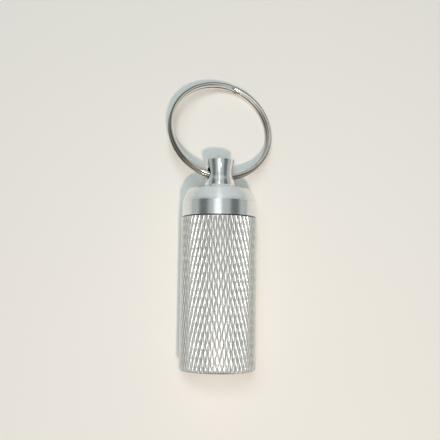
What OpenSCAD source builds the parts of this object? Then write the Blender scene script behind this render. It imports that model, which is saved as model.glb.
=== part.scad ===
// Pill fob keychain: a turned aluminium capsule with a screw cap and a split ring.
// It lies on its side: the capsule's axis runs along +Y, and +Z points up.
// The origin is the middle of the tube's flat base.

/* [Tube] */
// Outside diameter of the tube
tube_d = 17; // [16.8:0.1:20]
// Length of the tube from its base to its mouth
tube_l = 33.9; // [30:0.1:60]
// Diameter of the chamber that holds the pills
chamber_d = 12.4; // [10:0.1:12.5]
// Thickness of the tube's closed end
base_t = 2; // [1.2:0.1:3]
// Radius of the corner between a bored hole's wall and its floor
bore_corner = 1; // [0.4:0.1:2]
// Size of the small chamfer round the base
base_chamfer = 0.4; // [0.35:0.05:0.5]

/* [Knurl] */
// Number of diamonds round the tube
knurl_count = 48; // [40:4:56]
// Length of one diamond along the tube, before it is fitted to whole rows
knurl_pitch = 3.5; // [2.5:0.05:5]
// Depth of the crossed grooves
knurl_depth = 0.28; // [0.15:0.01:0.32]
// Half width of a groove, as a share of a diamond's width
groove_share = 0.22; // [0.12:0.01:0.35]

/* [Thread and seal] */
// Outside diameter of the cap's thread
thread_d = 14; // [13.6:0.1:14.2]
// Gap all round between the plug's thread and the tube
thread_gap = 0.05; // [0.02:0.01:0.1]
// Depth of the plug below the tube's mouth
plug_l = 6.5; // [6:0.1:7]
// Outside diameter of the seal ring, in the step of the tube's mouth
seal_d = 15; // [14.8:0.05:15.2]
// Thickness of the seal ring between the plug and the tube
seal_t = 1.5; // [1.3:0.05:1.6]
// Width of the groove that holds the seal ring
seal_groove = 1.75; // [1.7:0.05:2]

/* [Cap] */
// Diameter of the cap's smooth band
cap_d = 16.6; // [16.2:0.1:16.8]
// Height of the smooth band above the tube's mouth
band_h = 3.45; // [2.5:0.05:4]
// Height of the cap's top at the stem, above the tube's mouth
top_h = 6.95; // [6:0.05:8]
// Slope of the top down towards the shoulder, in degrees
top_slope = 9.5; // [4:0.5:12]
// Radius of the curve of the cap's shoulder
shoulder_r = 9.3; // [9:0.1:14]
// Slope of the shoulder where it leaves the band, in degrees
shoulder_slope = 13.3; // [8:0.1:16]
// Diameter of the hollow inside the plug
hollow_d = 9.6; // [8:0.1:10]
// Thickness of metal between the hollow and the cap's top
crown_t = 3; // [2.5:0.1:4]

/* [Stem] */
// Height of the stem's end above the tube's mouth
stem_h = 13.2; // [13:0.05:14]
// Diameter of the stem's head and foot
head_d = 6.75; // [6.6:0.05:7.2]
// Height of the stem's head
head_h = 1.7; // [1.4:0.05:1.8]
// Height of the foot of the stem
foot_h = 1.15; // [1:0.05:1.3]
// Diameter of the waist between them
waist_d = 6; // [5.8:0.05:6.2]
// Radius of the fillet round the stem's foot
foot_r = 0.5; // [0.3:0.05:0.6]
// Diameter of the eye, the cross hole that the split ring goes through
eye_d = 3.3; // [3.2:0.05:3.4]
// Height of the eye above the tube's mouth
eye_h = 10; // [9.9:0.05:10.1]
// How far the eye is turned about the capsule's axis, in degrees
eye_turn = 14; // [0:0.5:20]
// Width of the countersink round each mouth of the eye
eye_flare = 0.4; // [0.2:0.05:0.5]

/* [Split ring] */
// Outside diameter of the split ring
ring_d = 24.7; // [24:0.1:28]
// Thickness of its wire, from the ring's inside to its outside
wire_t = 1; // [0.8:0.05:1.1]
// Height of its wire, along the ring's axis
wire_h = 1; // [0.8:0.02:1.05]
// Radius of the wire's rounded edges
wire_edge = 0.3; // [0.2:0.05:0.35]
// Gap between the ring's two turns
turn_gap = 0.06; // [0.04:0.01:0.1]
// Where the step from one turn to the other lies, in degrees round from the eye
step_at = 162; // [120:1:300]
// Length of that step, in degrees
step_turn = 10; // [8:1:20]
// How far the ring droops from the capsule's axis as it lies, in degrees
ring_droop = 16; // [0:0.1:20]
// How far the ring leans sideways with the eye, in degrees
ring_lean = 14.9; // [10:0.1:18]
// How far the ring's wire is skewed in the eye, in degrees
ring_skew = 4.4; // [0:0.1:4.5]
// How far the wire sits from the eye's middle, towards the cap
wire_seat = 0.65; // [0.3:0.05:0.7]

/* [Hidden] */
// Smallest break on turned edges
edge = 0.12;
// Length of the chamfer at the mouth, and its drop below the knurl's lands
mouth_chamfer = 0.16;
mouth_drop = knurl_depth + 0.02;
// Ends of the knurl's lands, and the height of one row of half diamonds
knurl_low = base_chamfer;
knurl_high = tube_l - mouth_chamfer;
knurl_rows = round(2 * (knurl_high - knurl_low) / knurl_pitch);
row_h = (knurl_high - knurl_low) / knurl_rows;
// Angle that one diamond covers, and the reach of its land's tip from its middle
diamond_turn = 360 / knurl_count;
land_tip = row_h * (1 - 2 * groove_share);
// Radius of the bored body under the knurled skin, and of the skin's inside
core_r = seal_d / 2 + 0.4;
skin_r = seal_d / 2 + 0.25;
// Depth of the threaded stretch inside the tube, from its mouth
thread_l = plug_l + 0.6;
// Slant of a turned transition from one bore to the next
bore_slant = (thread_d / 2 + thread_gap) - chamber_d / 2;
// Diameter at the bottom of the seal ring's groove
groove_d = seal_d - 2 * seal_t;
// Free play of the seal ring on each side
seal_play = 0.02;
// Middle of the arc that forms the cap's shoulder
shoulder_x = cap_d / 2 - shoulder_r * cos(shoulder_slope);
shoulder_z = band_h - shoulder_r * sin(shoulder_slope);
// Heights at which the waist starts and ends, and the points along its curve
waist_low = top_h + foot_h;
waist_high = stem_h - head_h;
waist_steps = 16;
// Radius of the middle line of the split ring's wire
coil_r = (ring_d - wire_t) / 2;
// Height of one turn of the split ring above the ring's middle plane
turn_z = (wire_h + turn_gap) / 2;
// Clear angle between a wire end and the step next to it
end_clear = 1;
// Angle of the ring that one full-height turn covers
turn_span = 360 - step_turn - end_clear;
// Sections of the wire along one flat turn, and along the step
flat_steps = floor(turn_span / 5);
slope_steps = 6;
// Sides of each rounded edge of the wire's section
edge_sides = 2;
$fn = 96;

// Turn what is drawn along +Z so that it lies along +Y
module lying() {
    rotate([-90, 0, 0]) children();
}

// Half outline of a bored hole with a rounded floor, drawn from its floor up
module bored_outline(d, depth) {
    square([d / 2 - bore_corner, depth]);
    translate([0, bore_corner]) square([d / 2, depth - bore_corner]);
    translate([d / 2 - bore_corner, bore_corner]) circle(bore_corner);
}

// Half outline of everything that is bored out of the tube
module tube_bores() {
    bore_r = thread_d / 2 + thread_gap;
    thread_floor = tube_l - thread_l;
    translate([0, base_t]) bored_outline(chamber_d, tube_l);
    polygon([
        [0, thread_floor - bore_slant],
        [chamber_d / 2, thread_floor - bore_slant],
        [bore_r, thread_floor],
        [bore_r, tube_l + 1],
        [0, tube_l + 1]
    ]);
    translate([0, tube_l - seal_groove]) square([seal_d / 2, seal_groove + 1]);
}

// A point on the knurled skin, at an angle, a distance from the axis and a height
function skin_point(a, r, h) = [r * cos(a), r * sin(a), h];

// How much further a groove runs than the lands at the two end chamfers
function end_shift(i) =
    i == 0 ? -knurl_depth :
    i == knurl_rows ? mouth_chamfer * knurl_depth / mouth_drop : 0;

// Three points for each diamond on a line of crossings: the crossing and its land's corners.
// Every other line is turned by half a diamond.
function line_points(i) = [for (k = [0:knurl_count - 1])
    let (a = (k + (i % 2) / 2) * diamond_turn, r = tube_d / 2, h = knurl_low + i * row_h)
    each [
        skin_point(a, r - knurl_depth, h + end_shift(i)),
        skin_point(a + groove_share * diamond_turn, r, h),
        skin_point(a + (1 - groove_share) * diamond_turn, r, h)
    ]];

// Two points for each diamond in a row between lines i and i + 1: the upper tip of a land
// on the line below, and the lower tip of a land on the line above
function tip_points(i) = [for (k = [0:knurl_count - 1])
    let (a = (k + 0.5 + (i % 2) / 2) * diamond_turn, r = tube_d / 2, h = knurl_low + i * row_h)
    each [
        skin_point(a, r, h + land_tip),
        skin_point(a + (i % 2 == 0 ? 0.5 : -0.5) * diamond_turn, r, h + row_h - land_tip)
    ]];

// One point for each diamond on a plain circle
function circle_points(r, h) = [for (k = [0:knurl_count - 1]) skin_point(k * diamond_turn, r, h)];

function halved(quad) = [[quad[0], quad[1], quad[2]], [quad[0], quad[2], quad[3]]];

// The knurled skin: lines of crossings and rows of half diamonds, closed at both chamfers
module knurled_skin() {
    n = knurl_count;
    first_tip = 3 * n * (knurl_rows + 1);
    base_rim = first_tip + 2 * n * knurl_rows;
    mouth_rim = base_rim + n;
    base_inside = mouth_rim + n;
    mouth_inside = base_inside + n;
    function on_line(i, k, part) = 3 * (n * i + k % n) + part;
    function tip(i, k, part) = first_tip + 2 * (n * i + k % n) + part;
    // Upper halves of the diamonds on line i, with the crossing above them
    function lower_faces(i) = [for (k = [0:n - 1])
        let (left = on_line(i, k, 0), land_left = on_line(i, k, 1),
             land_right = on_line(i, k, 2), right = on_line(i, k + 1, 0),
             peak = tip(i, k, 0), above = on_line(i + 1, k + i % 2, 0))
        each concat([[land_left, peak, land_right]],
                    halved([left, above, peak, land_left]), halved([above, right, land_right, peak]))];
    // Lower halves of the diamonds on line i + 1, with the crossing below them
    function upper_faces(i) = [for (k = [0:n - 1])
        let (left = on_line(i + 1, k, 0), land_left = on_line(i + 1, k, 1),
             land_right = on_line(i + 1, k, 2), right = on_line(i + 1, k + 1, 0),
             peak = tip(i, k, 1), below = on_line(i, k + (i + 1) % 2, 0))
        each concat([[land_left, land_right, peak]],
                    halved([left, land_left, peak, below]), halved([land_right, right, below, peak]))];
    points = concat(
        [for (i = [0:knurl_rows]) each line_points(i)],
        [for (i = [0:knurl_rows - 1]) each tip_points(i)],
        circle_points(tube_d / 2 - base_chamfer, 0),
        circle_points(tube_d / 2 - mouth_drop, tube_l),
        circle_points(skin_r, 0),
        circle_points(skin_r, tube_l)
    );
    last = knurl_rows;
    ends = [for (k = [0:n - 1]) let (next = (k + 1) % n, turned = last % 2) each [
        [on_line(0, k, 0), on_line(0, k, 1), base_rim + k],
        [on_line(0, k, 1), on_line(0, k, 2), base_rim + k],
        [on_line(0, k, 2), base_rim + next, base_rim + k],
        [on_line(0, k, 2), on_line(0, k + 1, 0), base_rim + next],
        each halved([base_rim + k, base_rim + next, base_inside + next, base_inside + k]),
        [on_line(last, k, 1), on_line(last, k, 0), mouth_rim + (k + turned) % n],
        [on_line(last, k, 2), on_line(last, k, 1), mouth_rim + (k + turned) % n],
        [on_line(last, k, 2), mouth_rim + (k + turned) % n, mouth_rim + (k + turned + 1) % n],
        [on_line(last, k + 1, 0), on_line(last, k, 2), mouth_rim + (k + turned + 1) % n],
        each halved([mouth_rim + next, mouth_rim + k, mouth_inside + k, mouth_inside + next]),
        each halved([base_inside + k, base_inside + next, mouth_inside + next, mouth_inside + k])
    ]];
    polyhedron(points, concat(
        [for (i = [0:knurl_rows - 1]) each concat(lower_faces(i), upper_faces(i))], ends), convexity = 10);
}

module knurled_tube() {
    color("silver") lying() {
        rotate_extrude() difference() {
            square([core_r, tube_l]);
            tube_bores();
        }
        knurled_skin();
    }
}

// Half outline of the plug, the band and the domed shoulder, from the plug's end up
module cap_outline() {
    r = cap_d / 2;
    stem_foot = head_d / 2 + foot_r;
    plug_r = thread_d / 2;
    lead = plug_r - groove_d / 2;
    difference() {
        polygon([
            [0, -plug_l],
            [plug_r - lead, -plug_l],
            [plug_r, lead - plug_l],
            [plug_r, -seal_groove],
            [groove_d / 2, -seal_groove],
            [groove_d / 2, 0],
            [r - edge, 0],
            [r, edge],
            [r, top_h - (r - stem_foot) * tan(top_slope)],
            [stem_foot, top_h],
            [0, top_h]
        ]);
        difference() {
            translate([0, band_h]) square([cap_d, top_h]);
            translate([shoulder_x, shoulder_z]) circle(shoulder_r);
        }
    }
}

// A point on the waist's one soft curve, at a share of its height
function waist_point(t) =
    [head_d / 2 - (head_d - waist_d) / 4 * (1 - cos(360 * t)), waist_low + t * (waist_high - waist_low)];

// Half outline of the stem, with its foot's fillet and its waist
module stem_outline() {
    r = head_d / 2;
    difference() {
        union() {
            translate([0, top_h - 1]) square([r, stem_h - top_h + 1 - edge]);
            square([r - edge, stem_h]);
            translate([0, top_h - 1]) square([r + foot_r, 1 + foot_r]);
        }
        translate([r + foot_r, top_h + foot_r]) circle(foot_r);
        polygon([for (i = [0:waist_steps]) waist_point(i / waist_steps)]);
    }
}

// Cross hole through the stem, countersunk at both mouths
module eye() {
    sink_from = waist_d / 2 - eye_flare;
    translate([0, 0, eye_h]) rotate([0, 90, eye_turn]) {
        cylinder(d = eye_d, h = 2 * head_d, center = true);
        for (side = [0, 180]) {
            rotate([0, side, 0]) translate([0, 0, sink_from])
                cylinder(d1 = eye_d, d2 = eye_d + 4 * eye_flare, h = 2 * eye_flare);
        }
    }
}

module screw_cap() {
    hollow = plug_l + top_h - crown_t;
    color("lightsteelblue") translate([0, tube_l, 0]) lying() difference() {
        rotate_extrude() difference() {
            union() {
                cap_outline();
                stem_outline();
            }
            translate([0, top_h - crown_t]) mirror([0, 1]) bored_outline(hollow_d, hollow + 1);
        }
        eye();
    }
}

// The seal ring's cord is squeezed a little flat between the plug and the tube
module seal_ring() {
    r = seal_t / 2 - seal_play;
    middle = (groove_d + seal_d) / 4;
    squeeze = seal_groove / 2 - r - 2 * seal_play;
    color("dimgray") translate([0, tube_l - seal_groove / 2, 0]) lying() rotate_extrude() {
        translate([middle, squeeze]) circle(r);
        translate([middle, -squeeze]) circle(r);
        translate([middle - r, -squeeze]) square([2 * r, 2 * squeeze]);
    }
}

// One point of the wire's rounded section, as distances out and up from its middle
function section_point(corner, i) =
    let (a = 90 * (corner + i / edge_sides),
         out = (corner == 0 || corner == 3 ? 1 : -1) * (wire_t / 2 - wire_edge),
         up = (corner < 2 ? 1 : -1) * (wire_h / 2 - wire_edge))
    [out + wire_edge * cos(a), up + wire_edge * sin(a)];

wire_section = [for (corner = [0:3]) for (i = [0:edge_sides]) section_point(corner, i)];

// Height of the wire's middle at an angle along its length, counted from its lower end:
// flat for one turn, up the step, then flat again
function wire_rise(a) =
    let (t = (a - turn_span) / step_turn)
    t <= 0 ? -turn_z : t >= 1 ? turn_z : -turn_z * cos(180 * t);

// Angles at which the wire's section is placed, from its lower end to its upper end
wire_angles = concat(
    [for (i = [0:flat_steps - 1]) i * turn_span / flat_steps],
    [for (i = [0:slope_steps]) turn_span + i * step_turn / slope_steps],
    [for (i = [1:flat_steps]) turn_span + step_turn + i * turn_span / flat_steps]
);

// Two turns of flattened spring wire, swept as one length
module coil() {
    n = len(wire_section);
    m = len(wire_angles);
    start = step_at + step_turn / 2 + end_clear - 90;
    points = [for (a = wire_angles) for (p = wire_section)
        [(coil_r + p[0]) * cos(start + a), (coil_r + p[0]) * sin(start + a), wire_rise(a) + p[1]]];
    sides = [for (j = [0:m - 2]) for (i = [0:n - 1])
        [j * n + i, (j + 1) * n + i, (j + 1) * n + (i + 1) % n, j * n + (i + 1) % n]];
    first = [for (i = [0:n - 1]) i];
    last = [for (i = [0:n - 1]) m * n - 1 - i];
    polyhedron(points, concat(sides, [first, last]), convexity = 6);
}

module split_ring() {
    color("gainsboro") translate([0, tube_l + eye_h, 0])
        rotate([-ring_droop, ring_lean, -ring_skew])
            translate([0, coil_r - wire_seat, 0]) coil();
}

knurled_tube();
screw_cap();
seal_ring();
split_ring();
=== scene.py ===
from math import asin, cos, degrees, hypot, pi, radians, sin, tan, tau

import bmesh
import bpy
from mathutils import Matrix, Vector


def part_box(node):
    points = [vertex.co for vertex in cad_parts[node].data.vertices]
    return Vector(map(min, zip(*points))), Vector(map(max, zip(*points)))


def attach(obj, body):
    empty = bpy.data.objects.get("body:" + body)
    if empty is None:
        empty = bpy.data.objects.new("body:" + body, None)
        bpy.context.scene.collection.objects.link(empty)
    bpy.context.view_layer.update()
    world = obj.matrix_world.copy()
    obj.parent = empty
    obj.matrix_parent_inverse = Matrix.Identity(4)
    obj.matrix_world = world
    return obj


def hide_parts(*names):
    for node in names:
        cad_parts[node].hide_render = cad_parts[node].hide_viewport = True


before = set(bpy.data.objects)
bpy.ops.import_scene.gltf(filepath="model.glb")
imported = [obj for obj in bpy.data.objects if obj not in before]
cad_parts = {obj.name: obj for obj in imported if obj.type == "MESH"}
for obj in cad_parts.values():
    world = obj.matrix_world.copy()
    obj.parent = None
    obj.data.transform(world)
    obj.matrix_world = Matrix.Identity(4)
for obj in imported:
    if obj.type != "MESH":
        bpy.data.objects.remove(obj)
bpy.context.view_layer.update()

# Knurled tube: bar aluminium, turned and bored on a lathe, with a closed flat base.
# A pair of knurling wheels rolls the crossed grooves, from the base chamfer to the mouth,
# and the mouth is cut with a female thread below a step for the seal ring.
mm = 0.001
capsule_axis = Vector((0, 1, 0))
tube_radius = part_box("knurled_tube")[1].x
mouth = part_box("knurled_tube")[1].y
base_chamfer = 0.4 * mm
mouth_chamfer = 0.16 * mm
mouth_break = 0.03 * mm
# Crossed grooves: how many start round the tube, the height from one row of crossings to the
# next, the first crossing's place in rows and in diamonds, and the diamonds for each metre of
# height by which one family turns faster than the other
knurl_count = 48
knurl_row = 1.8146 * mm
knurl_shift = -0.4143
knurl_turn = 0.5134
knurl_lean = -0.0243 / mm
groove_depth = 0.2 * mm
# Places across one diamond, from groove to groove, and the share of full depth there
knurl_profile = [(0, 1), (0.07, 0.57), (0.14, 0.28), (0.21, 0.09), (0.28, 0),
                 (0.72, 0), (0.79, 0.09), (0.86, 0.28), (0.93, 0.57)]
mouth_ring = tube_radius - 0.5 * mm
base_ring = tube_radius - 0.9 * mm
base_middle = 4 * mm
chamber_radius = 6.2 * mm
chamber_floor = 2 * mm
bore_corner = 1 * mm
bore_edge = 0.1 * mm
bore_steps = 192
thread_pitch = 1.5 * mm
thread_sink = 0.03 * mm
tube_thread_root = 7.05 * mm
tube_thread_crest = 6.25 * mm
tube_thread_flat = 0.24 * mm
tube_thread_depth = 7.1 * mm
tube_thread_start = 0.9 * mm
tube_thread_end = 0.7 * mm
tube_thread_edge = 0.15 * mm
seal_groove = 1.75 * mm
seal_step_radius = 7.5 * mm


def arc(centre, radius, first, last, count):
    """Points of an arc in the half plane of (radius, height), with angles in degrees."""
    turns = [radians(first + (last - first) * i / count) for i in range(count + 1)]
    return [(centre[0] + radius * cos(t), centre[1] + radius * sin(t)) for t in turns]


def lathe(outline, steps):
    """Turn an outline of (radius, height) points about the capsule's axis."""
    bm = bmesh.new()
    points = [bm.verts.new((r, y, 0)) for r, y in outline]
    edges = [bm.edges.new(pair) for pair in zip(points, points[1:])]
    bmesh.ops.spin(bm, geom=points + edges, cent=(0, 0, 0), axis=capsule_axis, dvec=(0, 0, 0),
                   angle=tau, steps=steps, use_merge=True, use_duplicate=False)
    bmesh.ops.remove_doubles(bm, verts=bm.verts[:], dist=0.0005 * mm)
    return bm


def join(bm, *others):
    """Move the other meshes into the first one."""
    for other in others:
        carrier = bpy.data.meshes.new("carrier")
        other.to_mesh(carrier)
        other.free()
        bm.from_mesh(carrier)
        bpy.data.meshes.remove(carrier)


def rim_edges(bm, height):
    """Open edges of a mesh that lie in the plane across the axis at this height."""
    return [e for e in bm.edges
            if e.is_boundary and all(abs(v.co.y - height) < 0.001 * mm for v in e.verts)]


def set_radius(vert, radius):
    """Move a vertex straight in or out to a distance from the capsule's axis."""
    share = radius / hypot(vert.co.x, vert.co.z)
    vert.co.x *= share
    vert.co.z *= share


def whole(bm):
    return bm.verts[:] + bm.edges[:] + bm.faces[:]


def knurled_sleeve():
    """One helical strip of diamonds between two grooves, faced off and repeated round the tube."""
    bm = bmesh.new()
    cells = int(mouth / knurl_row) + 4
    lines = len(knurl_profile)
    bmesh.ops.create_grid(bm, x_segments=cells * lines, y_segments=lines, size=0.5)
    # Lines of the grid along x and y become lines of the profile across the two groove families
    for v in bm.verts:
        i = round((v.co.x + 0.5) * cells * lines)
        j = round((v.co.y + 0.5) * lines)
        along = i // lines + knurl_profile[i % lines][0] - 1
        across = j // lines + knurl_profile[j % lines][0]
        depth = groove_depth * max(knurl_profile[i % lines][1], knurl_profile[j % lines][1])
        height = (along - across + knurl_shift) * knurl_row
        turn = ((along + across) / 2 + knurl_turn + knurl_lean * height) * tau / knurl_count
        r = tube_radius - depth
        v.co = (r * sin(turn), height, r * cos(turn))
    for height, outwards in ((0, -1), (mouth, 1)):
        bmesh.ops.bisect_plane(bm, geom=whole(bm), dist=0.0001 * mm, plane_co=(0, height, 0),
                               plane_no=(0, outwards, 0), clear_outer=True)
    for height in (base_chamfer, base_chamfer - groove_depth, mouth - mouth_chamfer):
        bmesh.ops.bisect_plane(bm, geom=whole(bm), dist=0.0001 * mm, plane_co=(0, height, 0),
                               plane_no=(0, 1, 0))
    mouth_drop = groove_depth + mouth_break
    for v in bm.verts:
        at_base = tube_radius - base_chamfer + v.co.y
        at_mouth = tube_radius - mouth_drop * (v.co.y - mouth + mouth_chamfer) / mouth_chamfer
        set_radius(v, min(hypot(v.co.x, v.co.z), at_base, at_mouth))
    bmesh.ops.spin(bm, geom=whole(bm), cent=(0, 0, 0), axis=capsule_axis, dvec=(0, 0, 0),
                   angle=tau * (knurl_count - 1) / knurl_count, steps=knurl_count - 1,
                   use_merge=False, use_duplicate=True)
    bmesh.ops.remove_doubles(bm, verts=bm.verts[:], dist=0.002 * mm)
    return bm


def thread_ridge(root, crest, crest_flat, low, high, phase):
    """A helical ridge with 60 degree flanks between two heights, faded out at both ends."""
    bm = bmesh.new()
    steps_per_turn = 72
    half_base = crest_flat / 2 + abs(crest - root) * tan(radians(30))
    corners = [(root, -half_base), (root, half_base), (crest, crest_flat / 2), (crest, -crest_flat / 2)]
    section = [bm.verts.new((r, low + y, 0)) for r, y in corners]
    bmesh.ops.rotate(bm, verts=section, cent=(0, 0, 0), matrix=Matrix.Rotation(phase, 3, capsule_axis))
    face = bm.faces.new(section)
    steps = round((high - low) / thread_pitch * steps_per_turn)
    bmesh.ops.spin(bm, geom=section + face.edges[:] + [face], cent=(0, 0, 0), axis=capsule_axis,
                   dvec=(0, thread_pitch / steps_per_turn, 0), angle=tau * steps / steps_per_turn,
                   steps=steps, use_merge=False, use_duplicate=False)
    fade = thread_pitch * 0.6
    for v in bm.verts:
        left = min(v.co.y - low, high - v.co.y) + crest_flat / 2
        share = min(1, max(0, left / fade))
        set_radius(v, root + (hypot(v.co.x, v.co.z) - root) * share)
    return bm


def finish_mesh(bm, name, sharp_angle):
    """Make a smooth shaded object that has its place in its mesh."""
    bmesh.ops.recalc_face_normals(bm, faces=bm.faces[:])
    mesh = bpy.data.meshes.new(name)
    bm.to_mesh(mesh)
    bm.free()
    mesh.polygons.foreach_set("use_smooth", [True] * len(mesh.polygons))
    mesh.set_sharp_from_angle(angle=radians(sharp_angle))
    piece = bpy.data.objects.new(name, mesh)
    bpy.context.scene.collection.objects.link(piece)
    return piece


step_floor = mouth - seal_groove
thread_floor = mouth - tube_thread_depth
thread_low = thread_floor + tube_thread_start
bore = [(mouth_ring, mouth), (seal_step_radius + bore_edge, mouth),
        (seal_step_radius, mouth - bore_edge), (seal_step_radius, step_floor),
        (tube_thread_root + tube_thread_edge, step_floor),
        (tube_thread_root, step_floor - tube_thread_edge), (tube_thread_root, thread_floor),
        (chamber_radius, thread_floor - (tube_thread_root - chamber_radius))]
bore += arc((chamber_radius - bore_corner, chamber_floor + bore_corner), bore_corner, 0, -90, 8)
bore += [(0, chamber_floor)]
base = [(base_ring, 0), (base_middle, 0), (0, 0)]
tube_bm = knurled_sleeve()
join(tube_bm, lathe(bore, bore_steps), lathe(base, bore_steps))
for height in (0, mouth):
    bmesh.ops.triangle_fill(tube_bm, edges=rim_edges(tube_bm, height), use_beauty=True)
join(tube_bm, thread_ridge(tube_thread_root + thread_sink, tube_thread_crest, tube_thread_flat,
                           thread_low, step_floor - tube_thread_end, 0))
tube = finish_mesh(tube_bm, "knurled_tube_turned", sharp_angle=42)
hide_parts("knurled_tube")
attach(tube, "tube")


def new_group(name, inputs, outputs):
    """A shader node group with named inputs (type, default) and outputs."""
    group = bpy.data.node_groups.new(name, "ShaderNodeTree")
    for label, (kind, default) in inputs.items():
        socket = group.interface.new_socket(label, in_out="INPUT", socket_type=kind)
        socket.default_value = default
    for label, kind in outputs.items():
        group.interface.new_socket(label, in_out="OUTPUT", socket_type=kind)
    return group, group.nodes.new("NodeGroupInput"), group.nodes.new("NodeGroupOutput")


def node(tree, kind, links=None, **settings):
    """Add a node, set its properties, and feed its sockets by name or by number."""
    made = tree.nodes.new(kind)
    for name, value in settings.items():
        setattr(made, name, value)
    for socket, source in (links or {}).items():
        if isinstance(source, bpy.types.NodeSocket):
            tree.links.new(source, made.inputs[socket])
        else:
            made.inputs[socket].default_value = source
    return made


def maths(tree, operation, first, second=0.0, third=0.0):
    return node(tree, "ShaderNodeMath", {0: first, 1: second, 2: third}, operation=operation).outputs[0]


def ramp(tree, value, low, high, to_low=0.0, to_high=1.0):
    """Straight line from one pair of values to another, held at both ends."""
    links = {"Value": value, "From Min": low, "From Max": high, "To Min": to_low, "To Max": to_high}
    return node(tree, "ShaderNodeMapRange", links, clamp=True).outputs[0]


def mix_colour(tree, share, first, second):
    return node(tree, "ShaderNodeMix", {0: share, 6: first, 7: second}, data_type="RGBA").outputs[2]


def noise(tree, place, scale, detail, roughness=0.5):
    links = {"Vector": place, "Scale": scale, "Detail": detail, "Roughness": roughness}
    return node(tree, "ShaderNodeTexNoise", links).outputs["Fac"]


def bump(tree, height, strength, depth, over=None, **settings):
    """Relief of a depth in metres, laid over another one where that is given."""
    links = {"Height": height, "Strength": strength, "Distance": depth}
    if over is not None:
        links["Normal"] = over
    return node(tree, "ShaderNodeBump", links, **settings).outputs[0]


def place_on(tree):
    return node(tree, "ShaderNodeTexCoord").outputs["Object"]


def in_millimetres(tree, place):
    return node(tree, "ShaderNodeVectorMath", {0: place, "Scale": 1 / mm}, operation="SCALE").outputs[0]


def split_place(tree, place):
    return node(tree, "ShaderNodeSeparateXYZ", {0: place}).outputs


def distance_from_axis(tree, first, second):
    """Length of the two parts of a place that lie across an axis."""
    flat = node(tree, "ShaderNodeCombineXYZ", {"X": first, "Y": second}).outputs[0]
    return node(tree, "ShaderNodeVectorMath", {0: flat}, operation="LENGTH").outputs["Value"]


# Lathe marks: fine rings left by the tool, which follow the axis on a wall and the radius on a face
lathe_marks, marks_in, marks_out = new_group(
    "lathe marks",
    {"Rings per mm": ("NodeSocketFloat", 12.0), "Waviness": ("NodeSocketFloat", 0.15)},
    {"Height": "NodeSocketFloat", "Streaks": "NodeSocketFloat", "Radius": "NodeSocketFloat",
     "Along": "NodeSocketFloat"})
rings_per_mm = marks_in.outputs["Rings per mm"]
turned_place = in_millimetres(lathe_marks, place_on(lathe_marks))
turned_split = split_place(lathe_marks, turned_place)
turned_radius = distance_from_axis(lathe_marks, turned_split["X"], turned_split["Z"])
wander = maths(lathe_marks, "MULTIPLY", noise(lathe_marks, turned_place, 0.35, 2.0),
               marks_in.outputs["Waviness"])
wavy_height = maths(lathe_marks, "ADD", turned_split["Y"], wander)
ring_place = node(lathe_marks, "ShaderNodeCombineXYZ", {
    "X": maths(lathe_marks, "MULTIPLY", wavy_height, rings_per_mm),
    "Y": maths(lathe_marks, "MULTIPLY", turned_radius, rings_per_mm)}).outputs[0]
for label, source in (("Height", noise(lathe_marks, ring_place, 1.0, 3.0, 0.65)),
                      ("Streaks", noise(lathe_marks, ring_place, 0.18, 2.0)),
                      ("Radius", turned_radius), ("Along", turned_split["Y"])):
    lathe_marks.links.new(source, marks_out.inputs[label])

# Handling: faint smudges and pin-prick scratches from keys and pockets
handling, handling_in, handling_out = new_group(
    "handling", {"Scale": ("NodeSocketFloat", 0.25)},
    {"Smudge": "NodeSocketFloat", "Scratch": "NodeSocketFloat"})
handled_place = in_millimetres(handling, place_on(handling))
smudges = noise(handling, handled_place, handling_in.outputs["Scale"], 4.0, 0.6)
stretched = node(handling, "ShaderNodeVectorMath", {0: handled_place, 1: (2.2, 0.35, 2.2)},
                 operation="MULTIPLY")
hairs = node(handling, "ShaderNodeTexVoronoi",
             {"Vector": stretched.outputs[0], "Scale": 1.1, "Randomness": 1.0},
             feature="DISTANCE_TO_EDGE")
hair_lines = ramp(handling, hairs.outputs["Distance"], 0.0, 0.02, 1.0, 0.0)
scratched_parts = ramp(handling, noise(handling, handled_place, 0.6, 2.0), 0.5, 0.6)
handling.links.new(ramp(handling, smudges, 0.42, 0.66), handling_out.inputs["Smudge"])
handling.links.new(maths(handling, "MULTIPLY", hair_lines, scratched_parts),
                   handling_out.inputs["Scratch"])


def placed_group(tree, group, **values):
    made = tree.nodes.new("ShaderNodeGroup")
    made.node_tree = group
    for label, value in values.items():
        made.inputs[label.replace("_", " ")].default_value = value
    return made


def new_material(name):
    material = bpy.data.materials.new(name)
    material.use_nodes = True
    tree = material.node_tree
    return material, tree, tree.nodes["Principled BSDF"]


def seam_dirt_and_shade(tree, marks, colour):
    """Darken the metal deep in the seam where the cap meets the tube: dirt, and painted shade."""
    radius, along = marks.outputs["Radius"], marks.outputs["Along"]
    outer = ramp(tree, radius, seal_step_radius / mm + 0.2, seal_step_radius / mm + 0.3)
    below = ramp(tree, along, (mouth - mouth_chamfer) / mm, mouth / mm - 0.1)
    above = ramp(tree, along, mouth / mm + 0.16, mouth / mm + 0.1)
    share = maths(tree, "MULTIPLY", outer, maths(tree, "MULTIPLY", below, above))
    # Near-black brown in the seam: partly dirt, partly painted shade
    return mix_colour(tree, share, colour, (0.07, 0.06, 0.045, 1))


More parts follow.
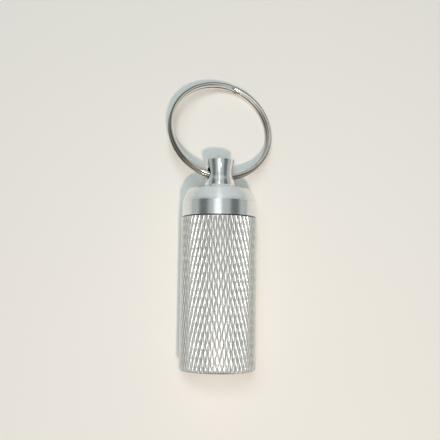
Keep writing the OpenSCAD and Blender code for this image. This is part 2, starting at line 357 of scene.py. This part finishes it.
def knurled_aluminium():
    """Rolled lands that handling has polished, with darker metal in the grooves: dirt, and painted shade.
    """
    land, groove_dirt_and_shade, smudged = (0.91, 0.89, 0.86, 1), (0.50, 0.485, 0.46, 1), (0.74, 0.75, 0.73, 1)
    material, tree, shader = new_material("knurled aluminium")
    marks = placed_group(tree, lathe_marks, Rings_per_mm=9.0, Waviness=0.1)
    smudge = placed_group(tree, handling, Scale=0.3).outputs["Smudge"]
    groove_floor = (tube_radius - groove_depth) / mm
    low = ramp(tree, marks.outputs["Radius"], groove_floor + 0.02, groove_floor + 0.12, 1.0, 0.0)
    on_sleeve = ramp(tree, marks.outputs["Radius"], groove_floor - 0.25, groove_floor - 0.2)
    groove = maths(tree, "MULTIPLY", low, on_sleeve)
    # The grooves are darkened: partly dirt, partly painted shade
    colour = mix_colour(tree, maths(tree, "MULTIPLY", groove, 0.85), land, groove_dirt_and_shade)
    colour = mix_colour(tree, maths(tree, "MULTIPLY", smudge, 0.25), colour, smudged)
    tree.links.new(seam_dirt_and_shade(tree, marks, colour), shader.inputs["Base Color"])
    rough = maths(tree, "MULTIPLY_ADD", groove, -0.04, 0.32)
    rough = maths(tree, "MULTIPLY_ADD", smudge, 0.06, rough)
    tree.links.new(rough, shader.inputs["Roughness"])
    shader.inputs["Metallic"].default_value = 1
    grain = bump(tree, noise(tree, place_on(tree), 9 / mm, 3.0), 0.2, 0.004 * mm)
    rings = bump(tree, marks.outputs["Height"], 0.3, 0.003 * mm, over=grain)
    tree.links.new(rings, shader.inputs["Normal"])
    return material


tube.data.materials.append(knurled_aluminium())

# Seal ring: a black rubber cord ring, squeezed a little flat between the cap's groove and the
# step in the tube's mouth, where it keeps damp out.
seal_low, seal_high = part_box("seal_ring")
seal_inner_radius = 6.02 * mm
cord_radius = 0.73 * mm
seal_middle = (seal_high.x + seal_inner_radius) / 2
seal_height = (seal_low.y + seal_high.y) / 2
seal_stretch = (seal_high.y - seal_low.y) / 2 - cord_radius

upper = arc((seal_middle, seal_height + seal_stretch), cord_radius, 0, 180, 12)
lower = arc((seal_middle, seal_height - seal_stretch), cord_radius, 180, 360, 12)
seal = finish_mesh(lathe(upper + lower + upper[:1], steps=144), "seal_ring_rubber", sharp_angle=60)
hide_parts("seal_ring")
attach(seal, "seal")


def seal_rubber():
    """Black rubber with a fine grain, a little greyer where it is rubbed."""
    material, tree, shader = new_material("seal rubber")
    smudge = placed_group(tree, handling, Scale=0.8).outputs["Smudge"]
    colour = mix_colour(tree, smudge, (0.018, 0.018, 0.019, 1), (0.045, 0.045, 0.047, 1))
    tree.links.new(colour, shader.inputs["Base Color"])
    tree.links.new(ramp(tree, smudge, 0, 1, 0.38, 0.6), shader.inputs["Roughness"])
    grain = bump(tree, noise(tree, place_on(tree), 6 / mm, 4.0), 0.35, 0.02 * mm)
    tree.links.new(grain, shader.inputs["Normal"])
    return material


seal.data.materials.append(seal_rubber())

# Screw cap: turned in one piece with its stem. The threaded plug is hollow, the band and the
# shoulder are faced bright, and the eye for the split ring is drilled through the stem and
# broken at both mouths.
band_radius = 8.3 * mm
band_height = 3.45 * mm
band_foot = 0.5 * mm
seam = 0.05 * mm
top_height = 6.95 * mm
top_slope = radians(9.5)
top_corner = 0.9 * mm
shoulder_radius = 9.3 * mm
shoulder_slope = 13.3
plug_length = 6.5 * mm
plug_radius = 7 * mm
plug_chamfer = 0.5 * mm
collar_height = 0.4 * mm
collar_edge = 0.05 * mm
collar_foot = 0.75 * mm
groove_radius = 6 * mm
hollow_radius = 4.8 * mm
hollow_edge = 0.15 * mm
crown_height = 3.95 * mm
cap_thread_root = 6.1 * mm
cap_thread_flat = 0.2 * mm
cap_thread_start = 0.55 * mm
cap_thread_end = 1.1 * mm
stem_height = 13.2 * mm
head_radius = 3.375 * mm
waist_radius = 3 * mm
waist_steps = 40
foot_fillet = 0.5 * mm
cap_edge = 0.12 * mm
eye_radius = 1.65 * mm
eye_height = 10 * mm
eye_turn = 14
eye_lip = 0.3 * mm
eye_lip_start = 2.45 * mm
eye_flare = 0.8 * mm
eye_cutter = 5 * mm

shoulder_middle = (band_radius - shoulder_radius * cos(radians(shoulder_slope)),
                   band_height - shoulder_radius * sin(radians(shoulder_slope)))
foot_edge = head_radius + foot_fillet
waist_low = top_height + foot_fillet
waist_high = stem_height - cap_edge
collar = -seal_groove - collar_height

# The outline runs from the middle of the hollow, down and round the plug, and up to the head
cap_outline = [(0, crown_height)]
cap_outline += arc((hollow_radius - bore_corner, crown_height - bore_corner), bore_corner, 90, 0, 8)
cap_outline += [(hollow_radius, hollow_edge - plug_length), (hollow_radius + hollow_edge, -plug_length),
                (cap_thread_root - plug_chamfer, -plug_length),
                (cap_thread_root, plug_chamfer - plug_length),
                (cap_thread_root, -seal_groove - collar_foot),
                (plug_radius - cap_edge, collar - collar_edge), (plug_radius, collar),
                (plug_radius, -seal_groove - cap_edge),
                (plug_radius - cap_edge, -seal_groove), (groove_radius + cap_edge, -seal_groove),
                (groove_radius, -seal_groove + cap_edge), (groove_radius, 0), (band_radius - band_foot, 0),
                (band_radius - band_foot + seam, seam), (band_radius - cap_edge, seam)]
cap_outline += arc((band_radius - cap_edge, seam + cap_edge), cap_edge, -75, 0, 5)
inner_radius = shoulder_radius - top_corner
rise_to_top = ((top_height - shoulder_middle[1]) * cos(top_slope)
               + (foot_edge - shoulder_middle[0]) * sin(top_slope))
corner_turn = asin((rise_to_top - top_corner) / inner_radius) - top_slope
corner_middle = (shoulder_middle[0] + inner_radius * cos(corner_turn),
                 shoulder_middle[1] + inner_radius * sin(corner_turn))
cap_outline += arc(shoulder_middle, shoulder_radius, shoulder_slope, degrees(corner_turn), 20)
corner_start = degrees(corner_turn) + 3
cap_outline += arc(corner_middle, top_corner, corner_start, 90 - degrees(top_slope), 12)
cap_outline += arc((foot_edge, waist_low), foot_fillet, 270, 180, 12)
cap_outline += [(head_radius - (head_radius - waist_radius) * (1 - cos(tau * i / waist_steps)) / 2,
                 waist_low + (waist_high - waist_low) * i / waist_steps) for i in range(1, waist_steps)]
cap_outline += arc((head_radius - cap_edge, waist_high), cap_edge, 0, 90, 6) + [(0, stem_height)]

cap_bm = lathe([(r, mouth + y) for r, y in cap_outline], steps=256)


def drill(bm, cutter_bm):
    """Cut one closed mesh out of another with an exact Boolean."""
    blank, cutter = [bpy.data.objects.new(name, bpy.data.meshes.new(name)) for name in ("blank", "cutter")]
    for solid, source in ((blank, bm), (cutter, cutter_bm)):
        bmesh.ops.recalc_face_normals(source, faces=source.faces[:])
        source.to_mesh(solid.data)
        bpy.context.scene.collection.objects.link(solid)
    cut = blank.modifiers.new("cut", "BOOLEAN")
    cut.operation = "DIFFERENCE"
    cut.solver = "EXACT"
    cut.object = cutter
    bpy.context.view_layer.update()
    drilled = blank.evaluated_get(bpy.context.evaluated_depsgraph_get()).to_mesh()
    bm.clear()
    bm.from_mesh(drilled)
    cutter_bm.free()
    for solid in (blank, cutter):
        mesh = solid.data
        bpy.data.objects.remove(solid)
        bpy.data.meshes.remove(mesh)


# The drill and its two countersinks: an outline from the drill's middle to one end, mirrored to
# the other
lip = arc((eye_radius + eye_lip, eye_lip_start), eye_lip, 180, 135, 6)
flare_end = (lip[-1][0] + eye_flare, lip[-1][1] + eye_flare)
lip += [flare_end, (flare_end[0], eye_cutter), (0, eye_cutter)]
eye_bm = lathe([(r, -y) for r, y in reversed(lip)] + lip, steps=96)
to_eye = Matrix.Rotation(radians(eye_turn), 4, capsule_axis) @ Matrix.Rotation(radians(-90), 4, "Z")
eye_middle = Vector((0, mouth + eye_height, 0))
bmesh.ops.transform(eye_bm, matrix=Matrix.Translation(eye_middle) @ to_eye, verts=eye_bm.verts[:])
drill(cap_bm, eye_bm)
cap_thread_low = mouth - plug_length + cap_thread_start
mesh_turn = tau * (cap_thread_low - thread_low - thread_pitch / 2) / thread_pitch
join(cap_bm, thread_ridge(cap_thread_root - thread_sink, plug_radius, cap_thread_flat, cap_thread_low,
                          step_floor - cap_thread_end, mesh_turn))
cap = finish_mesh(cap_bm, "screw_cap_turned", sharp_angle=11)
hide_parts("screw_cap")
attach(cap, "cap")


def eye_painted_shade(tree, colour):
    """Painted shade: dark brown on the wall of the eye, where the drilled hole lies in shade."""
    in_eye = node(tree, "ShaderNodeMapping",
                  {"Vector": place_on(tree), "Location": eye_middle, "Rotation": to_eye.to_euler()},
                  vector_type="TEXTURE")
    split = split_place(tree, in_eye.outputs[0])
    radius = distance_from_axis(tree, split["X"], split["Z"])
    on_wall = ramp(tree, radius, eye_radius + 0.02 * mm, eye_radius + 0.005 * mm)
    # Dark brown on the eye's wall: painted shade
    return mix_colour(tree, on_wall, colour, (0.10, 0.075, 0.055, 1))


def turned_aluminium():
    """Faced on a lathe: bright, with fine rings that spread a highlight along the axis."""
    bright, streaked, smudged = (0.88, 0.88, 0.87, 1), (0.78, 0.81, 0.81, 1), (0.76, 0.78, 0.77, 1)
    material, tree, shader = new_material("turned aluminium")
    marks = placed_group(tree, lathe_marks, Rings_per_mm=11.0, Waviness=0.08)
    touched = placed_group(tree, handling, Scale=0.22)
    smudge = touched.outputs["Smudge"]
    streaks = ramp(tree, marks.outputs["Streaks"], 0.35, 0.65)
    colour = mix_colour(tree, maths(tree, "MULTIPLY", streaks, 0.35), bright, streaked)
    colour = mix_colour(tree, maths(tree, "MULTIPLY", smudge, 0.3), colour, smudged)
    tree.links.new(eye_painted_shade(tree, seam_dirt_and_shade(tree, marks, colour)), shader.inputs["Base Color"])
    # The shoulder and the top are duller than the band, and the stem a little brighter
    above = maths(tree, "SUBTRACT", marks.outputs["Along"], mouth / mm)
    past_band = ramp(tree, above, band_height / mm - 0.02, band_height / mm + 0.02)
    on_shoulder = maths(tree, "MULTIPLY", past_band,
                        ramp(tree, above, top_height / mm + 0.3, top_height / mm + 0.2))
    on_stem = ramp(tree, above, top_height / mm + 0.2, top_height / mm + 0.3)
    rough = maths(tree, "MULTIPLY_ADD", on_shoulder, 0.10, 0.15)
    rough = maths(tree, "MULTIPLY_ADD", on_stem, -0.04, rough)
    rough = maths(tree, "MULTIPLY_ADD", smudge, 0.05, rough)
    tree.links.new(rough, shader.inputs["Roughness"])
    shader.inputs["Metallic"].default_value = 1
    rings = bump(tree, marks.outputs["Height"], 0.6, 0.012 * mm)
    scratches = bump(tree, touched.outputs["Scratch"], 0.3, 0.01 * mm, over=rings, invert=True)
    tree.links.new(scratches, shader.inputs["Normal"])
    return material


cap.data.materials.append(turned_aluminium())

# Split ring: two turns of nickel plated spring wire. A step lifts the wire from the lower turn
# to the upper one, and both ends are ground to wedges that lie along the step.
ring_radius = 12.35 * mm
wire_width = 1 * mm
wire_height = 1 * mm
wire_edge = 0.4 * mm
turn_gap = 0.06 * mm
step_middle = 162
step_turn = 16
slope_steps = 12
wedge_turn = 10
wedge_steps = 8
coil_steps = 136
ring_tilt = (-16, 14.9, -4.4)
wire_seat = 0.65 * mm
coil_radius = ring_radius - wire_width / 2
half_rise = (wire_height + turn_gap) / 2

ring_bm = bmesh.new()
wire_section = []
for quarter, (out, up) in enumerate(((1, 1), (-1, 1), (-1, -1), (1, -1))):
    corner = (coil_radius + out * (wire_width / 2 - wire_edge),
              up * (wire_height / 2 - wire_edge) - half_rise)
    wire_section += arc(corner, wire_edge, quarter * 90, quarter * 90 + 90, 6)
wire = [ring_bm.verts.new((r, 0, z)) for r, z in wire_section]
wire.append(ring_bm.faces.new(wire))


def wind(section, turn, steps, rise=0):
    """Sweep the wire's end on round the ring's axis, and return its new end."""
    made = bmesh.ops.spin(ring_bm, geom=section, cent=(0, 0, 0), axis=(0, 0, 1), dvec=(0, 0, rise / steps),
                          angle=radians(turn), steps=steps, use_merge=False, use_duplicate=False)
    return made["geom_last"]


def grind(section, step_share, side):
    """Take the wire down to the slope of the step that lies below it or above it."""
    face = side * (wire_height / 2 + turn_gap) - half_rise * cos(pi * step_share)
    for v in section:
        if isinstance(v, bmesh.types.BMVert):
            v.co.z = side * max(side * v.co.z, side * face)


first_end = wire
for i in range(wedge_steps):
    next_end = wind(first_end, wedge_turn / wedge_steps, 1)
    grind(first_end, 1 - wedge_turn / step_turn * (1 - i / wedge_steps), -1)
    first_end = next_end
wire = wind(first_end, 360 - step_turn, coil_steps)
for i in range(slope_steps):
    lift = [half_rise * (1 - cos(pi * j / slope_steps)) for j in (i, i + 1)]
    wire = wind(wire, step_turn / slope_steps, 1, lift[1] - lift[0])
wire = wind(wire, 360 - step_turn, coil_steps)
for i in range(wedge_steps):
    wire = wind(wire, wedge_turn / wedge_steps, 1)
    grind(wire, wedge_turn / step_turn * (i + 1) / wedge_steps, 1)
tilt = [Matrix.Rotation(radians(turn), 4, axis) for turn, axis in zip(ring_tilt, "XYZ")]
at_eye = Matrix.Translation(eye_middle) @ tilt[2] @ tilt[1] @ tilt[0]
ring_middle = at_eye @ Matrix.Translation((0, coil_radius - wire_seat, 0))
start_turn = Matrix.Rotation(radians(step_middle + step_turn / 2 - wedge_turn - 90), 4, "Z")
bmesh.ops.transform(ring_bm, matrix=ring_middle @ start_turn, verts=ring_bm.verts[:])
ring = finish_mesh(ring_bm, "split_ring_wire", sharp_angle=40)
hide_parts("split_ring")
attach(ring, "key_ring")


def ring_plate_and_painted_light(tree, place, smudge):
    """Colour of the plate, with painted shade and painted highlights in places, and the share of its
    brightest patch.
    """
    plate, worn_plate = (0.66, 0.62, 0.56, 1), (0.54, 0.51, 0.46, 1)
    painted_inner_highlight, painted_side_shade, painted_glint = (0.86, 0.83, 0.78, 1), (0.32, 0.30, 0.27, 1), (0.94, 0.92, 0.89, 1)
    painted_shade = (0.17, 0.16, 0.14, 1)
    coil = coil_radius / mm
    split = split_place(tree, place)
    radius = distance_from_axis(tree, split["X"], split["Y"])
    off_crest = maths(tree, "ABSOLUTE", maths(tree, "SUBTRACT", radius, coil))
    # Uneven tone, guessed: on one half the outer side is dark and the inner side bright, and both sides of
    # the other half are dull. The dark parts are painted shade and the bright inner side is a painted
    # highlight
    to_half = node(tree, "ShaderNodeVectorMath", {0: place, 1: (-0.7, 0.7, 0)}, operation="DOT_PRODUCT")
    on_half = ramp(tree, to_half.outputs["Value"], -5.0, 0.0)
    outer_side = maths(tree, "MULTIPLY", on_half, ramp(tree, radius, coil - 0.05, coil + 0.2))
    inner_side = maths(tree, "MULTIPLY", on_half, ramp(tree, radius, coil + 0.05, coil - 0.1))
    other_sides = maths(tree, "MULTIPLY", maths(tree, "SUBTRACT", 1.0, on_half),
                        ramp(tree, off_crest, 0.2, 0.4))
    # The seam between the two turns is darkened as well: painted shade
    in_seam = ramp(tree, maths(tree, "ABSOLUTE", split["Z"]), 0.26, 0.1)
    # The crest of the step is painted bright, a painted glint, and made matt, which widens the lamp's
    # glint there
    glint_middle = radians(step_middle - 90 + 3)
    around = maths(tree, "ARCTAN2", split["Y"], split["X"])
    from_step = maths(tree, "ABSOLUTE", maths(tree, "SUBTRACT", around, glint_middle))
    at_step = maths(tree, "MULTIPLY", ramp(tree, from_step, radians(7), radians(4)),
                    ramp(tree, off_crest, 0.35, 0.15))
    colour = mix_colour(tree, smudge, plate, worn_plate)
    colour = mix_colour(tree, inner_side, colour, painted_inner_highlight)
    colour = mix_colour(tree, other_sides, colour, painted_side_shade)
    colour = mix_colour(tree, at_step, colour, painted_glint)
    colour = mix_colour(tree, maths(tree, "MAXIMUM", outer_side, in_seam), colour, painted_shade)
    return colour, at_step, radius, split["Z"]


def ring_steel():
    """Nickel plate over drawn wire, with faint lines along the wire, smudges, and patches of painted shade
    and painted highlight.
    """
    material, tree, shader = new_material("ring steel")
    in_ring = node(tree, "ShaderNodeMapping",
                   {"Vector": place_on(tree), "Location": ring_middle.translation,
                    "Rotation": ring_middle.to_euler()}, vector_type="TEXTURE")
    touched = placed_group(tree, handling, Scale=0.5)
    smudge = touched.outputs["Smudge"]
    colour, at_step, radius, height = ring_plate_and_painted_light(tree, in_millimetres(tree, in_ring.outputs[0]), smudge)
    tree.links.new(colour, shader.inputs["Base Color"])
    rough = maths(tree, "MULTIPLY_ADD", at_step, 0.14, ramp(tree, smudge, 0, 1, 0.12, 0.18))
    tree.links.new(rough, shader.inputs["Roughness"])
    shader.inputs["Metallic"].default_value = 1
    drawn_place = node(tree, "ShaderNodeCombineXYZ", {"X": radius, "Y": height}).outputs[0]
    drawn_lines = bump(tree, noise(tree, drawn_place, 14.0, 3.0), 0.2, 0.004 * mm)
    scratches = bump(tree, touched.outputs["Scratch"], 0.15, 0.004 * mm, over=drawn_lines, invert=True)
    tree.links.new(scratches, shader.inputs["Normal"])
    return material


ring.data.materials.append(ring_steel())

# Floor: a plain pale table top, which the tube lies on.
floor_height = -tube_radius
floor_bm = bmesh.new()
bmesh.ops.create_grid(floor_bm, x_segments=8, y_segments=8, size=1.5,
                      matrix=Matrix.Translation((0, 0, floor_height)))
floor = finish_mesh(floor_bm, "table_top", sharp_angle=30)


def table_top():
    """Pale matt laminate with a faint cloud in its colour."""
    material, tree, shader = new_material("table top")
    cloud = noise(tree, place_on(tree), 14.0, 3.0)
    colour = mix_colour(tree, cloud, (0.81, 0.79, 0.725, 1), (0.83, 0.78, 0.735, 1))
    tree.links.new(colour, shader.inputs["Base Color"])
    shader.inputs["Roughness"].default_value = 0.6
    shader.inputs["Specular IOR Level"].default_value = 0.2
    return material


floor.data.materials.append(table_top())

# Studio: a small warm lamp overhead, towards the base, a cool panel, and a window past the ring
# light the fob. Metal sees the first lamp as a wider glow, and a plain room in place of the others:
# a bright strip along the capsule, a dark card on each side of it, and the window.
scene = bpy.context.scene
scene.view_settings.view_transform = "Standard"
fob_middle = Vector((0, 30 * mm, 0))


def area_lamp(name, towards, distance, shape, size, energy, colour):
    """A lamp that shines on the middle of the fob from a direction, and that metal doesn't see."""
    lamp = bpy.data.lights.new(name, "AREA")
    lamp.shape = shape
    lamp.size, lamp.size_y = size
    lamp.energy = energy
    lamp.color = colour
    lamp_object = bpy.data.objects.new(name, lamp)
    direction = Vector(towards).normalized()
    lamp_object.location = fob_middle + direction * distance
    lamp_object.rotation_euler = direction.to_track_quat("Z", "Y").to_euler()
    lamp_object.visible_glossy = False
    scene.collection.objects.link(lamp_object)
    return lamp_object


area_lamp("warm_lamp", (0.10, -0.34, 1), 0.3, "DISK", (0.015, 0.015), 0.40, (1.0, 0.76, 0.62))
area_lamp("cool_panel", (0.0, 0.05, 1), 0.6, "RECTANGLE", (0.14, 0.44), 2.1, (0.86, 1.0, 1.06))
area_lamp("window_lamp", (-0.26, 0.38, 1), 0.6, "DISK", (0.08, 0.08), 0.24, (0.70, 0.88, 1.0))
lamp_glow = area_lamp("lamp_glow", (0.11, -0.34, 1), 0.3, "DISK", (0.05, 0.05), 0.25, (1.0, 0.95, 0.88))
lamp_glow.visible_glossy = True
lamp_glow.visible_diffuse = False

# A plain room for metal to mirror: grey walls, a dark card on each side of the capsule, and a
# paler wall past the ring
wall = (0.45, 0.50, 0.50, 1)
dark_card = (0.15, 0.17, 0.17, 1)
pale_wall = (0.65, 0.70, 0.70, 1)
card_low = radians(35)
card_high = radians(65)
card_soft = radians(5)
strip_light = (1.2, 1.22, 1.25, 1)
window_light = (1.3, 1.35, 1.4, 1)
lighting = (0.085, 0.10, 0.105, 1)
room = bpy.data.worlds.new("room")
scene.world = room
room.use_nodes = True
sky = room.node_tree
heading = split_place(sky, node(sky, "ShaderNodeTexCoord").outputs["Generated"])
forward = heading["Y"]
over = maths(sky, "ARCTAN2", heading["X"], heading["Z"])


def between(value, low, high, soft):
    """One between two limits, zero outside them, with soft edges."""
    return maths(sky, "MULTIPLY", ramp(sky, value, low - soft, low + soft),
                 ramp(sky, value, high + soft, high - soft))


# The strip runs from a little short of the base, and narrows towards the ring
narrowing = ramp(sky, forward, 0.10, 0.45)
strip_left = maths(sky, "MULTIPLY_ADD", narrowing, radians(9), radians(-15))
strip_right = maths(sky, "MULTIPLY_ADD", narrowing, radians(-3), radians(6))
past_left_edge = ramp(sky, maths(sky, "SUBTRACT", over, strip_left), radians(-2), radians(2))
short_of_right_edge = ramp(sky, maths(sky, "SUBTRACT", over, strip_right), radians(2), radians(-2))
strip = maths(sky, "MULTIPLY", past_left_edge, short_of_right_edge)
strip = maths(sky, "MULTIPLY", strip, ramp(sky, forward, -0.65, -0.59))
far_window = maths(sky, "MULTIPLY", between(over, radians(-9), radians(9), radians(4)),
                   between(forward, 0.54, 0.64, 0.04))
far_end = ramp(sky, forward, 0.49, 0.55)
on_card = between(maths(sky, "ABSOLUTE", over), card_low, card_high, card_soft)
seen_in_metal = mix_colour(sky, on_card, wall, dark_card)
seen_in_metal = mix_colour(sky, far_end, seen_in_metal, pale_wall)
seen_in_metal = mix_colour(sky, strip, seen_in_metal, strip_light)
seen_in_metal = mix_colour(sky, far_window, seen_in_metal, window_light)
in_metal = node(sky, "ShaderNodeLightPath").outputs["Is Glossy Ray"]
sky.links.new(mix_colour(sky, in_metal, lighting, seen_in_metal), sky.nodes["Background"].inputs["Color"])

# Camera: held over the fob, just short of square to the table.
camera = bpy.data.cameras.new("camera")
camera.lens = 60.26
camera.sensor_width = 36
camera.clip_start = 0.01
camera_object = bpy.data.objects.new("camera", camera)
camera_object.matrix_world = (Matrix.Translation((0.2 * mm, 17.05 * mm, 165.5 * mm))
                              @ Matrix.Rotation(radians(5.66), 4, "X")
                              @ Matrix.Rotation(radians(0.768), 4, "Z"))
scene.collection.objects.link(camera_object)
scene.camera = camera_object
